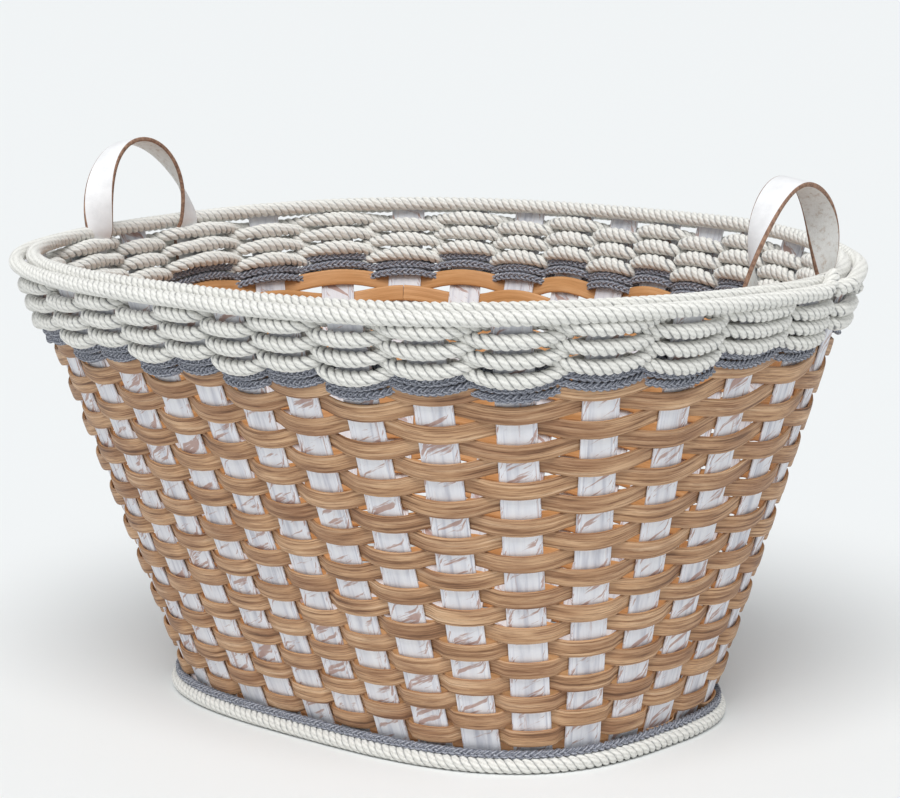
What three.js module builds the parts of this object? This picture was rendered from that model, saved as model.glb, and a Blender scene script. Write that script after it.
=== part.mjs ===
import * as THREE from 'three';

// Oval laundry basket woven on flat stakes, with rope rows, a rope rim and two leather handles.
// Millimetres, +Z up, floor at z = 0, origin under the middle of the base board.
// Stakes are numbered counter-clockwise seen from above, from the +X end.

// Clearance kept between pieces that touch
const gap = 0.3;

// Wall: the middle of the stakes runs straight from a foot oval to a rim oval
const footHalfLength = 189;
const footHalfWidth = 126;
const footPower = 3;
const footHeight = 6.4;
const rimHalfLength = 280.5;
const rimHalfWidth = 234;
const rimPower = 2.55;
const rimHeight = 306.4;
const ovalSamples = 1440;

// Stakes: an odd number, so that each row changes sides on the row below
const stakePairs = 16;
const stakeCount = 2 * stakePairs + 1;
const stakeWidth = 25;
const stakeThickness = 2;
// Stakes stand evenly round the foot and fan out most at the ends; shifts are parts of one stake step
const footShift = 0.12;
const rimShift = -0.05;
const rimFan = 0.54;
const edgeClearance = 1;
const passHalf = stakeWidth / 2 + edgeClearance;

// Reed rows
const reedWidth = 12.1;
const reedThickness = 2.2;
const reedRows = 20;
const seamStake = 2; // the rows above begin at this stake
const reedRowGap = 0.34;
const reedPitch = reedWidth + reedRowGap;
const firstRowGap = 0.4;
const reedLengths = 12;
const reedStartWidth = 5;
const reedTaperPasses = 6;

// Grey cord rows
const cordHeight = 3.8;
const cordBundleHeight = 7.6;
const cordDepth = 6;
const cordRows = 2;

// Rope rows; the rope is pressed lower than it is deep where the rows are packed
const ropeDiameter = 9;
const ropeRowHeight = 5.2;
const ropeRows = 6;
const ropeSides = 6;
const ropeLengths = 2;

// Base board and the foot of the wall
const boardThickness = 12;
const boardClearance = 0.7;
const slotDepth = 13;
const slotEndClearance = 1;
const braidHeight = 3.8;
const braidDepth = 5.2;
const floorClearance = 0.1;

// Rim
const rimStep = 0.2;
const stakeTopRise = -1.4;
const outerRimStart = 3;
const outerRimEnd = 1;
const curlReach = 14;
const curlRise = 3.5;
const curlIn = 2;

// Handles: a strap between two stakes that have one stake between them
const strapWidth = 21;
const strapThickness = 3;
const handleFeet = 2;
const rightFeetInboard = [2.5, 22];
const leftFeetInboard = [15, 15];
const rightHandleStake = 0;
const leftHandleStake = stakePairs;
const hingeRise = 5.4;
const loopRise = 45;
const loopLegs = 8;
const loopNarrowing = 0.46; // share by which the loop draws in towards its top
const rightLoopLean = -5; // degrees outward
const leftLoopLean = 8;
const twistLength = 32;
const loopSteps = 18;
const tailBend = Math.PI / 3;
const tailClearance = 0.5;

// Heights worked out from the rows
const firstRow = footHeight + firstRowGap + reedWidth / 2;
const reedEnd = firstRow + reedPitch * (reedRows + seamStake / stakeCount);
const cordFirstStep = reedWidth / 2 + cordHeight / 2 + gap;
const cordStep = cordHeight + gap;
const cordEnd = reedEnd + cordFirstStep + cordStep * (cordRows - 1);
const ropeStart = cordEnd + (ropeRowHeight - cordHeight) / 2;
const ropeStep = ropeRowHeight + gap;
const ropeEnd = ropeStart + ropeStep * ropeRows;
const ropeRadius = ropeDiameter / 2;
const outerRimHeight = ropeEnd + ropeRowHeight / 2 + gap + ropeRadius;
const innerRimHeight = outerRimHeight + rimStep;
const stakeTop = outerRimHeight + stakeTopRise;
const hingeHeight = innerRimHeight + ropeRadius + hingeRise;

// Distances from the middle of a stake
const reedOffset = stakeThickness / 2 + gap + reedThickness / 2;
const cordOffset = stakeThickness / 2 + gap + cordDepth / 2;
const ropeOffset = stakeThickness / 2 + gap + ropeRadius;
const strapOffset = stakeThickness / 2 + gap + strapThickness / 2;
const strapOffsetAtRim = ropeOffset + ropeRadius + gap + strapThickness / 2;
const overReed = stakeThickness / 2 + gap + reedThickness + gap;
const baseRopeOffset = overReed + ropeRadius;
const boardInset = overReed + boardClearance;

const reedPasses = reedRows * stakeCount + seamStake;
const cordPasses = cordRows * stakeCount;
const ropePasses = ropeRows * stakeCount;

const up = new THREE.Vector3(0, 0, 1);

function material(color, roughness) {
  return new THREE.MeshStandardMaterial({ color, roughness, metalness: 0 });
}

function smooth(value) {
  const t = Math.min(1, Math.max(0, value));
  return t * t * (3 - 2 * t);
}

// Oval outline with even steps along its length
function makeOval(halfLength, halfWidth, power) {
  const points = [];
  const lengths = [0];
  for (let i = 0; i <= ovalSamples; i += 1) {
    const angle = (2 * Math.PI * i) / ovalSamples;
    const c = Math.cos(angle);
    const s = Math.sin(angle);
    const sum = Math.abs(c / halfLength) ** power + Math.abs(s / halfWidth) ** power;
    const radius = sum ** (-1 / power);
    points.push(new THREE.Vector3(radius * c, radius * s, 0));
    if (i > 0) lengths.push(lengths[i - 1] + points[i].distanceTo(points[i - 1]));
  }
  return { points, lengths, total: lengths[ovalSamples] };
}

function ovalAt(oval, fraction) {
  const wanted = (fraction - Math.floor(fraction)) * oval.total;
  let low = 0;
  let high = ovalSamples;
  while (high - low > 1) {
    const middle = (low + high) >> 1;
    if (oval.lengths[middle] > wanted) high = middle;
    else low = middle;
  }
  const share = (wanted - oval.lengths[low]) / (oval.lengths[high] - oval.lengths[low]);
  const point = oval.points[low].clone().lerp(oval.points[high], share);
  const tangent = oval.points[high].clone().sub(oval.points[low]).normalize();
  return { point, tangent };
}

const footOval = makeOval(footHalfLength, footHalfWidth, footPower);
const rimOval = makeOval(rimHalfLength, rimHalfWidth, rimPower);

// Each stake's own directions: along it, level across it, and outward from its face
const stakes = Array.from({ length: stakeCount }, (unused, i) => {
  const fan = rimFan * Math.sin((4 * Math.PI * i) / stakeCount);
  const foot = ovalAt(footOval, (i + footShift) / stakeCount);
  const rim = ovalAt(rimOval, (i + rimShift + fan) / stakeCount);
  foot.point.z = footHeight;
  rim.point.z = rimHeight;
  const along = rim.point.clone().sub(foot.point).normalize();
  const across = foot.tangent.clone().add(rim.tangent).normalize();
  const outward = across.clone().cross(along).normalize();
  return { foot: foot.point, along, across, outward };
});

function stakeFor(index) {
  return stakes[((index % stakeCount) + stakeCount) % stakeCount];
}

function stakePoint(index, side, out, height) {
  const stake = stakeFor(index);
  const climb = (height - footHeight) / stake.along.z;
  return stake.foot
    .clone()
    .addScaledVector(stake.along, climb)
    .addScaledVector(stake.across, side)
    .addScaledVector(stake.outward, out);
}

// Section corners as [outward, along] pairs
function stakeRing(index, side, out, height, corners) {
  const stake = stakeFor(index);
  const centre = stakePoint(index, side, out, height);
  return corners.map(([o, a]) =>
    centre.clone().addScaledVector(stake.outward, o).addScaledVector(stake.along, a));
}

function reedSection(width) {
  const t = reedThickness / 2;
  return [[-t, -width / 2], [t, 0], [-t, width / 2]];
}

function diamondSection(depth, height) {
  return [[depth / 2, 0], [0, height / 2], [-depth / 2, 0], [0, -height / 2]];
}

function boxSection(depth, height) {
  const d = depth / 2;
  const h = height / 2;
  return [[d, -h], [d, h], [-d, h], [-d, -h]];
}

function roundSection(radius) {
  return Array.from({ length: ropeSides }, (unused, i) => {
    const angle = (2 * Math.PI * (i + 0.5)) / ropeSides;
    return [radius * Math.cos(angle), radius * Math.sin(angle)];
  });
}

// Closed body from triangles, turned so that its faces look outward
function bodyFrom(name, vertices, triangles, surface) {
  let volume = 0;
  const normal = new THREE.Vector3();
  triangles.forEach(([a, b, c]) => {
    volume += vertices[a].dot(normal.crossVectors(vertices[b], vertices[c]));
  });
  const index = triangles.flatMap(([a, b, c]) => (volume < 0 ? [a, c, b] : [a, b, c]));
  const geometry = new THREE.BufferGeometry();
  geometry.setAttribute('position',
    new THREE.Float32BufferAttribute(vertices.flatMap((v) => [v.x, v.y, v.z]), 3));
  geometry.setIndex(index);
  geometry.computeVertexNormals();
  const mesh = new THREE.Mesh(geometry, surface);
  mesh.name = name;
  return mesh;
}

// Skin over a row of rings; an open row is closed with flat ends, a ring-shaped one joins its own start
function loft(name, rings, surface, ringShaped = false) {
  const sides = rings[0].length;
  const vertices = rings.flat();
  const triangles = [];
  const steps = ringShaped ? rings.length : rings.length - 1;
  for (let i = 0; i < steps; i += 1) {
    const here = i * sides;
    const next = ((i + 1) % rings.length) * sides;
    for (let j = 0; j < sides; j += 1) {
      const k = (j + 1) % sides;
      triangles.push([here + j, here + k, next + k], [here + j, next + k, next + j]);
    }
  }
  if (!ringShaped) {
    const last = (rings.length - 1) * sides;
    for (let j = 1; j + 1 < sides; j += 1) {
      triangles.push([0, j + 1, j], [last, last + j, last + j + 1]);
    }
  }
  return bodyFrom(name, vertices, triangles, surface);
}

// Flat strip along points with mitred bends; across gives the width direction at each point
function stripRings(points, across, width, thickness) {
  return points.map((point, i) => {
    const before = i > 0 ? point.clone().sub(points[i - 1]).normalize() : null;
    const after = i + 1 < points.length ? points[i + 1].clone().sub(point).normalize() : null;
    const first = across[i].clone().cross(before ?? after).normalize();
    const second = across[i].clone().cross(after ?? before).normalize();
    const mitre = first.clone().add(second).divideScalar(1 + first.dot(second));
    return sectionAt(point, across[i], mitre, width / 2, thickness / 2);
  });
}

function sectionAt(point, across, face, halfWidth, halfThickness) {
  return [[-1, -1], [1, -1], [1, 1], [-1, 1]].map(([w, t]) =>
    point.clone().addScaledVector(across, w * halfWidth).addScaledVector(face, t * halfThickness));
}

// Weave: pass number counts stakes from the start, even passes lie outside the stake
function isOutside(pass) {
  return pass % 2 === 0;
}

function reedHeight(pass) {
  return firstRow + (reedPitch * pass) / stakeCount;
}

function cordHeightAt(pass) {
  const turns = (pass - reedPasses) / stakeCount;
  return reedEnd + cordFirstStep * Math.min(turns, 1) + cordStep * Math.max(turns - 1, 0);
}

function ropeHeightAt(pass) {
  return ropeStart + (ropeStep * (pass - reedPasses - cordPasses)) / stakeCount;
}

// Straps stand a little inboard of the middle of their stakes
const footSides = new Map();
footSides.set(rightHandleStake, rightFeetInboard[0]);
footSides.set(rightHandleStake + handleFeet, -rightFeetInboard[1]);
footSides.set(leftHandleStake, leftFeetInboard[0]);
footSides.set(leftHandleStake + handleFeet, -leftFeetInboard[1]);

// The rope goes round the strap tail where it passes inside a handle's stake
function ropePassOffset(pass) {
  const atHandle = footSides.has(pass % stakeCount);
  return ropeOffset + (atHandle && !isOutside(pass) ? strapThickness + gap : 0);
}

// How far the straight part of a pass reaches on both sides of a stake
function plainEnds() {
  return [-passHalf, passHalf];
}

function ropeEnds(pass) {
  const side = footSides.get(pass % stakeCount) ?? 0;
  const reach = strapWidth / 2 + gap;
  return [Math.min(side - reach, -passHalf), Math.max(side + reach, passHalf)];
}

// One weaver length from the middle of one inside pass to the middle of a later one.
// Soft weavers are squeezed where they cross the next row between two stakes.
function weaver(name, from, to, run, surface) {
  const { offsetAt, heightAt, sectionFor, endsAt, squeezed } = run;
  const ringAt = (pass, side, section) => {
    const out = isOutside(pass) ? offsetAt(pass) : -offsetAt(pass);
    return stakeRing(pass, side, out, heightAt(pass), section);
  };
  const rings = [];
  for (let pass = from; pass <= to; pass += 1) {
    const [start, end] = endsAt(pass);
    rings.push(ringAt(pass, pass === from ? gap / 2 : start, sectionFor(pass)));
    rings.push(ringAt(pass, pass === to ? -gap / 2 : end, sectionFor(pass)));
    if (squeezed && pass < to) {
      const before = ringAt(pass, end, squeezed);
      const after = ringAt(pass + 1, endsAt(pass + 1)[0], squeezed);
      rings.push(before.map((corner, i) => corner.lerp(after[i], 0.5)));
    }
  }
  return loft(name, rings, surface);
}

// Joins lie at odd passes, hidden inside the wall
function joinPass(start, count, share) {
  return 2 * Math.round((start + count * share - 1) / 2) + 1;
}

function twoDigits(number) {
  return String(number).padStart(2, '0');
}

function makeReeds() {
  const sectionFor = (pass) => {
    const share = Math.min(1, pass / reedTaperPasses);
    return reedSection(reedStartWidth + (reedWidth - reedStartWidth) * share);
  };
  const run = { offsetAt: () => reedOffset, heightAt: reedHeight, sectionFor, endsAt: plainEnds };
  return Array.from({ length: reedLengths }, (unused, i) => {
    const from = i === 0 ? 0 : joinPass(0, reedPasses, i / reedLengths);
    const to = i + 1 === reedLengths
      ? joinPass(0, reedPasses - 2, 1)
      : joinPass(0, reedPasses, (i + 1) / reedLengths);
    return weaver(`reed_${twoDigits(i + 1)}`, from, to, run, material(0xaa784b, 0.7));
  });
}

function makeCordRows() {
  const section = diamondSection(cordDepth, cordBundleHeight);
  const from = joinPass(reedPasses, 0, 0);
  const to = joinPass(reedPasses + cordPasses - 2, 0, 0);
  const run = {
    offsetAt: () => cordOffset,
    heightAt: cordHeightAt,
    sectionFor: () => section,
    endsAt: ropeEnds,
    squeezed: diamondSection(cordDepth, cordHeight),
  };
  return weaver('grey_cord_rows', from, to, run, material(0x5a5c64, 0.9));
}

function makeRopeRows() {
  // Full rope, but pressed flat at a strap tail and where the top row runs up to the rim
  const sectionFor = (pass) => {
    const room = outerRimHeight - ropeRadius - gap - ropeHeightAt(pass);
    const full = footSides.has(pass % stakeCount) ? ropeRowHeight : ropeDiameter;
    return diamondSection(ropeDiameter, Math.min(full, 2 * room));
  };
  const start = reedPasses + cordPasses;
  const names = ['rope_rows_lower', 'rope_rows_upper'];
  const run = {
    offsetAt: ropePassOffset,
    heightAt: ropeHeightAt,
    sectionFor,
    endsAt: ropeEnds,
    squeezed: diamondSection(ropeDiameter, ropeRowHeight),
  };
  return Array.from({ length: ropeLengths }, (unused, i) => {
    const from = joinPass(start, ropePasses, i / ropeLengths);
    const to = i + 1 === ropeLengths
      ? joinPass(start, ropePasses - 2, 1)
      : joinPass(start, ropePasses, (i + 1) / ropeLengths);
    return weaver(names[i], from, to, run, material(0xebe8de, 0.9));
  });
}

// Rope or braid round the whole wall; heightAt gives its height on each stake
function hoop(name, out, heightAt, section, surface, endsAt = plainEnds) {
  const rings = stakes.flatMap((stake, i) =>
    endsAt(i).map((side) => stakeRing(i, side, out, heightAt(stake), section)));
  return loft(name, rings, surface, true);
}

// The base rope lies level on the floor although the wall leans, and the braid lies on it
function baseRopeHeight(stake) {
  return ropeRadius + floorClearance - baseRopeOffset * stake.outward.z;
}

function braidRowHeight(stake) {
  return baseRopeHeight(stake) + (ropeRadius + gap + braidHeight / 2) * stake.along.z;
}

function makeOuterRim() {
  const section = roundSection(ropeRadius);
  const rings = [];
  const last = stakeCount + outerRimEnd;
  for (let i = outerRimStart; i <= last; i += 1) {
    rings.push(stakeRing(i, i === outerRimStart ? 0 : -passHalf, ropeOffset, outerRimHeight, section));
    rings.push(stakeRing(i, passHalf, ropeOffset, outerRimHeight, section));
  }
  const curl = { side: passHalf + curlReach, out: ropeOffset - curlIn, height: outerRimHeight + curlRise };
  rings.push(stakeRing(last, curl.side, curl.out, curl.height, section));
  return loft('rim_rope_outer', rings, material(0xebe8de, 0.9));
}

function makeStake(index) {
  const stake = stakeFor(index);
  const slotHeight = boardThickness / 2;
  const inward = stake.outward.clone().setZ(0).normalize().negate();
  const bend = stakePoint(index, 0, 0, slotHeight);
  const tip = bend.clone().addScaledVector(inward, boardInset + slotDepth - slotEndClearance);
  const points = [tip, bend, stakePoint(index, 0, 0, stakeTop)];
  const across = points.map(() => stake.across);
  return loft(`stake_${twoDigits(index + 1)}`, stripRings(points, across, stakeWidth, stakeThickness),
    material(0xe4e2e2, 0.75));
}

// Board outline at a distance inside the foot oval
function boardOutline(inset, height) {
  const count = 2 * stakeCount;
  return Array.from({ length: count }, (unused, i) => {
    const { point, tangent } = ovalAt(footOval, i / count);
    const inward = up.clone().cross(tangent);
    return point.clone().addScaledVector(inward, inset).setZ(height);
  });
}

function makeBoard() {
  const slotLow = boardThickness / 2 - stakeThickness / 2 - gap;
  const slotHigh = boardThickness / 2 + stakeThickness / 2 + gap;
  const profile = [
    [boardInset, 0],
    [boardInset, slotLow],
    [boardInset + slotDepth, slotLow],
    [boardInset + slotDepth, slotHigh],
    [boardInset, slotHigh],
    [boardInset, boardThickness],
  ];
  const rings = profile.map(([inset, height]) => boardOutline(inset, height));
  return loft('base_board', rings, material(0xc9a476, 0.7));
}

// Where a strap meets the hinge line above a stake
function hingePoint(index) {
  return stakePoint(index, footSides.get(index), -strapOffsetAtRim, hingeHeight);
}

function handleFrame(firstStake, leanOut) {
  const start = hingePoint(firstStake);
  const end = hingePoint(firstStake + handleFeet);
  const middle = start.clone().add(end).multiplyScalar(0.5);
  const axis = end.clone().sub(start).normalize();
  const level = axis.clone().cross(up).normalize();
  const lean = THREE.MathUtils.degToRad(leanOut);
  const rise = up.clone().multiplyScalar(Math.cos(lean)).addScaledVector(level, Math.sin(lean));
  rise.addScaledVector(axis, -rise.dot(axis)).normalize();
  const outward = axis.clone().cross(rise);
  return { start, end, middle, axis, rise, outward, half: start.distanceTo(end) / 2 };
}

// Strap loop: flat across the wall at both feet, turned a quarter by the time it arches over
function makeLoop(name, frame) {
  const place = (along, height) =>
    frame.middle.clone().addScaledVector(frame.axis, along).addScaledVector(frame.rise, height);
  const path = [];
  for (let i = 0; i <= loopSteps; i += 1) {
    const angle = (Math.PI * i) / loopSteps;
    const height = loopLegs + (loopRise - loopLegs) * Math.sin(angle);
    const width = frame.half * (1 - loopNarrowing * Math.sin(angle));
    path.push({ point: place(-width * Math.cos(angle), height) });
  }
  path.unshift({ point: place(-frame.half, 0) });
  path.push({ point: place(frame.half, 0) });
  let travelled = 0;
  path.forEach((step, i) => {
    if (i > 0) travelled += step.point.distanceTo(path[i - 1].point);
    step.travelled = travelled;
  });
  const rings = path.map((step, i) => {
    const ahead = path[Math.min(i + 1, path.length - 1)].point;
    const behind = path[Math.max(i - 1, 0)].point;
    const run = ahead.clone().sub(behind).normalize();
    const outer = frame.outward.clone().cross(run);
    const turn = (Math.PI / 2) * smooth(Math.min(step.travelled, travelled - step.travelled) / twistLength);
    const face = outer.multiplyScalar(Math.sin(turn)).addScaledVector(frame.outward, -Math.cos(turn));
    const across = run.clone().cross(face).normalize();
    return sectionAt(step.point, across, face, strapWidth / 2, strapThickness / 2);
  });
  // Half-round ends about the hinge line
  const ends = [Math.PI / 4, (5 * Math.PI) / 12].map((angle) => {
    const drop = (-Math.sin(angle) * strapThickness) / 2;
    const half = (Math.cos(angle) * strapThickness) / 2;
    const face = frame.outward.clone().negate();
    const across = frame.rise.clone().cross(face);
    const first = sectionAt(place(-frame.half, drop), across, face, strapWidth / 2, half);
    const last = sectionAt(place(frame.half, drop), across.clone().negate(), face, strapWidth / 2, half);
    return { first, last };
  });
  ends.forEach(({ first, last }) => {
    rings.unshift(first);
    rings.push(last);
  });
  return loft(name, rings, material(0xf0f0f2, 0.55));
}

// Strap tail: from the hinge line down inside the rim rope and in behind the rope rows
function makeTail(name, index, axis) {
  const stake = stakeFor(index);
  const reach = ropeRadius + gap + strapThickness / 2;
  const inner = ropeOffset - strapOffset;
  const low = (reach + inner * Math.cos(tailBend)) / Math.sin(tailBend);
  const high = reach * Math.tan(tailBend / 2);
  const tailEnd = cordEnd + cordBundleHeight / 2 + tailClearance;
  const hingeDrop = strapThickness / 2 + gap;
  const side = footSides.get(index);
  const points = [
    stakePoint(index, side, -strapOffset, tailEnd),
    stakePoint(index, side, -strapOffset, innerRimHeight - low * stake.along.z),
    stakePoint(index, side, -strapOffsetAtRim, innerRimHeight - high * stake.along.z),
    stakePoint(index, side, -strapOffsetAtRim, innerRimHeight + ropeRadius),
    stakePoint(index, side, -strapOffsetAtRim, hingeHeight - hingeDrop),
  ];
  const across = points.map((unused, i) => (i + 1 < points.length ? stake.across : axis));
  return loft(name, stripRings(points, across, strapWidth, strapThickness), material(0xd9d2c8, 0.8));
}

function makeHandle(side, firstStake, leanOut) {
  const frame = handleFrame(firstStake, leanOut);
  return [
    makeLoop(`handle_${side}_loop`, frame),
    makeTail(`handle_${side}_tail_a`, firstStake, frame.axis),
    makeTail(`handle_${side}_tail_b`, firstStake + handleFeet, frame.axis),
  ];
}

const basket = new THREE.Group();
basket.name = 'laundry_basket';
basket.add(makeBoard());
basket.add(hoop('base_rope', baseRopeOffset, baseRopeHeight, roundSection(ropeRadius),
  material(0xebe8de, 0.9)));
const braidSection = boxSection(braidDepth, braidHeight);
basket.add(hoop('base_braid', overReed + braidDepth / 2, braidRowHeight, braidSection,
  material(0x5a5c64, 0.9)));
stakes.forEach((unused, i) => basket.add(makeStake(i)));
makeReeds().forEach((mesh) => basket.add(mesh));
basket.add(makeCordRows());
makeRopeRows().forEach((mesh) => basket.add(mesh));
basket.add(makeOuterRim());
basket.add(hoop('rim_rope_inner', -ropeOffset, () => innerRimHeight, roundSection(ropeRadius),
  material(0xebe8de, 0.9), ropeEnds));
makeHandle('right', rightHandleStake, rightLoopLean).forEach((mesh) => basket.add(mesh));
makeHandle('left', leftHandleStake, leftLoopLean).forEach((mesh) => basket.add(mesh));

export default basket;
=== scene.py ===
import math

import bpy
import numpy as np
from mathutils import Matrix, Vector


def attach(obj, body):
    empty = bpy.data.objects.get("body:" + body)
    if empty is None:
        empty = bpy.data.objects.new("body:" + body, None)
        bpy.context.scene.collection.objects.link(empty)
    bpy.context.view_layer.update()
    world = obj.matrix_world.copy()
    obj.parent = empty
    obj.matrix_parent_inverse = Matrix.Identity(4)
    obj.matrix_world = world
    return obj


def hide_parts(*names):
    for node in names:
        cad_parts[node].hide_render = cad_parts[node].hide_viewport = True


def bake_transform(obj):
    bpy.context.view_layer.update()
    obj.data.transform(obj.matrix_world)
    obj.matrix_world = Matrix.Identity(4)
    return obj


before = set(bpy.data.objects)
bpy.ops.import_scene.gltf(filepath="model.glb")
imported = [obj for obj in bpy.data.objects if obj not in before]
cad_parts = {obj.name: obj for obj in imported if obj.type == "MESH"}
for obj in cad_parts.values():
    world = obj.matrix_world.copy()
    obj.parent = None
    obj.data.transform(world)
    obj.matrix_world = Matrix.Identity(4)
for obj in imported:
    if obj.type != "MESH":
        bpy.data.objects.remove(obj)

scene = bpy.context.scene
scene.view_settings.view_transform = "Standard"
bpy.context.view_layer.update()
mm = 0.001
print("stage: frame loaded")

# The wall has the ovals, stakes and row heights of the solids, in millimetres
wall = {
    "foot": {"halfLength": 189.0, "halfWidth": 126.0, "power": 3.0, "height": 6.4, "shift": 0.12},
    "rim": {"halfLength": 280.5, "halfWidth": 234.0, "power": 2.55, "height": 306.4,
            "shift": -0.05},
    "rimFan": 0.54,  # the most that a stake top moves along the rim, in stake spacings
    "stakeCount": 33,
    "samples": 1440,
    "tangentStep": 1e-3,
}
stakeCount = wall["stakeCount"]


def ovalTable(oval):
    angle = np.linspace(0, 2 * np.pi, wall["samples"] + 1)
    power = oval["power"]
    inverse = np.abs(np.cos(angle) / oval["halfLength"]) ** power
    inverse += np.abs(np.sin(angle) / oval["halfWidth"]) ** power
    points = (inverse ** (-1 / power))[:, None] * np.stack([np.cos(angle), np.sin(angle)], 1)
    steps = np.linalg.norm(np.diff(points, axis=0), axis=1)
    return points, np.concatenate([[0], np.cumsum(steps)])


def ovalAt(table, share):
    points, lengths = table
    wanted = (share % 1) * lengths[-1]
    return np.array([np.interp(wanted, lengths, points[:, k]) for k in range(2)])


def unit(vector):
    return vector / np.linalg.norm(vector)


def ovalRun(table, share):
    small = wall["tangentStep"]
    return unit(ovalAt(table, share + small) - ovalAt(table, share - small))


def makeStakeFrames():
    footTable, rimTable = ovalTable(wall["foot"]), ovalTable(wall["rim"])
    frames = []
    for i in range(stakeCount):
        fan = wall["rimFan"] * math.sin(4 * math.pi * i / stakeCount)
        footShare = (i + wall["foot"]["shift"]) / stakeCount
        rimShare = (i + wall["rim"]["shift"] + fan) / stakeCount
        foot = np.append(ovalAt(footTable, footShare), wall["foot"]["height"])
        rim = np.append(ovalAt(rimTable, rimShare), wall["rim"]["height"])
        along = unit(rim - foot)
        across = unit(np.append(ovalRun(footTable, footShare) + ovalRun(rimTable, rimShare), 0))
        outward = unit(np.cross(across, along))
        frames.append({"foot": foot, "along": along, "across": across, "outward": outward})
    return frames


stakeFrames = makeStakeFrames()


def onStake(index, side, out, height):
    stake = stakeFrames[index % stakeCount]
    rise = (height - wall["foot"]["height"]) / stake["along"][2]
    return stake["foot"] + stake["along"] * rise + stake["across"] * side + stake["outward"] * out


def spacingAt(index, height):
    return np.linalg.norm(onStake(index + 1, 0, 0, height) - onStake(index, 0, 0, height))


# Row heights on a stake, by pass number: even passes lie outside their stake.
# The soft rows lie lower than the straight rows of the solids, most of all at the right handle.
rows = {
    "reedStart": 12.85, "reedPitch": 12.44, "reedPasses": 662, "reedLengths": 12,
    "cordStart": 262.4, "cordFirstStep": 8.25, "cordStep": 4.1, "cordPasses": 66, "cordSink": 1.5,
    "ropeStart": 275.45, "ropeStep": 5.5, "ropePasses": 198, "ropeSink": 4.0,
    "outerRim": 312.2, "innerRim": 311.4, "hinge": 325.95, "stakeTop": 309.5,
    "dip": 9.0, "dipStake": 1.8, "dipReach": 4.6,
}
cordFirst = rows["reedPasses"]
ropeFirst = cordFirst + rows["cordPasses"]

# Handles: the stakes at the strap feet, how far each foot stands beside its stake,
# and the loop's lean (degrees), rise and skew (mm) and the turn of each leg (degrees)
handles = {
    "right": {"stakes": (0, 2), "sides": (7.0, -11.0), "lean": 1.9, "rise": 63.8, "skew": 0.5,
              "turn": 98.0},
    "left": {"stakes": (16, 18), "sides": (15.0, -15.0), "lean": 8.3, "rise": 61.2, "skew": 1.0,
             "turn": 92.0},
}
footSides = {}
for handle in handles.values():
    footSides.update(zip(handle["stakes"], handle["sides"]))


def clamped(value, low=0.0, high=1.0):
    return min(high, max(low, value))


def eased(share):
    share = clamped(share)
    return share * share * (3 - 2 * share)


def rimDip(turn):
    away = abs((turn - rows["dipStake"] + stakeCount / 2) % stakeCount - stakeCount / 2)
    return rows["dip"] * math.cos(math.pi / 2 * clamped(away / rows["dipReach"])) ** 2


def inOut(turn):
    return 0.5 + 0.5 * math.cos(math.pi * turn)  # 1 outside a stake, 0 inside


# What every weaver does at a stake, at a strap foot and on its way to the next stake
weave = {
    "endGap": 0.2,  # a length stops this far from the middle of the pass where the next one starts
    "edgeSqueeze": 0.55,  # at the edge of a stake; it grows to 1 midway between two stakes
    "crossPull": 1.05,  # how strongly a crossing keeps the direction of the passes
    "strapReach": 10.8,  # how far a pass stays flat on each side of a strap foot
}
reed = {
    "width": 12.1, "thickness": 2.4, "power": 0.52, "sides": 16, "offset": 2.35, "bow": 1.1,
    "startWidth": 5.0, "taperPasses": 6, "sagLow": 1.2, "sagHigh": 4.6, "toneStep": 0.37,
    "edge": 12.7, "flatSteps": 5, "crossSteps": 4,
}
cord = {
    "strands": 3, "strandRadius": 1.3, "halfWidth": 2.1, "halfDepth": 0.8, "lay": 14.0,
    "step": 1.5, "sides": 6, "offset": 4.2, "bow": 0.8, "drop": 4.6, "lift": 0.6, "cordApart": 6.0,
    "edge": 12.7, "flatSteps": 7, "crossSteps": 6, "strapRoom": 0.01,
}
rope = {
    "strands": 3, "strandRadius": 2.7, "orbit": 2.65, "rowSwell": 0.98, "innerSwell": 0.7,
    "lay": 17.5, "step": 1.5, "sides": 8, "offset": 5.9, "bow": 0.9, "drop": 4.6, "lift": 1.4,
    "edge": 12.7, "flatSteps": 7, "crossSteps": 6, "strapRoom": 3.3,
}


def reedHeight(turn):
    share = turn / rows["reedPasses"]
    sag = reed["sagLow"] + (reed["sagHigh"] - reed["sagLow"]) * share
    return rows["reedStart"] + rows["reedPitch"] * turn / stakeCount + sag * (1 - inOut(turn))


def cordHeight(turn):
    rounds = (turn - cordFirst) / stakeCount
    level = rows["cordStart"] - rows["cordSink"]
    level += rows["cordFirstStep"] * min(rounds, 1) + rows["cordStep"] * max(rounds - 1, 0)
    return level - cord["drop"] * inOut(turn) + cord["lift"] * (1 - inOut(turn))


def ropeHeight(turn):
    share = (turn - ropeFirst) / rows["ropePasses"]
    level = rows["ropeStart"] - rows["ropeSink"]
    level += rows["ropeStep"] * (turn - ropeFirst) / stakeCount
    slack = rope["lift"] * (1 - inOut(turn)) - rope["drop"] * inOut(turn)
    return level - share * rimDip(turn) + (1 - share) * slack


def hermite(a, aRun, b, bRun, t):
    pull = np.linalg.norm(b - a) * weave["crossPull"]
    t2, t3 = t * t, t * t * t
    return ((2 * t3 - 3 * t2 + 1) * a + (t3 - 2 * t2 + t) * pull * aRun
            + (3 * t2 - 2 * t3) * b + (t3 - t2) * pull * bRun)


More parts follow.
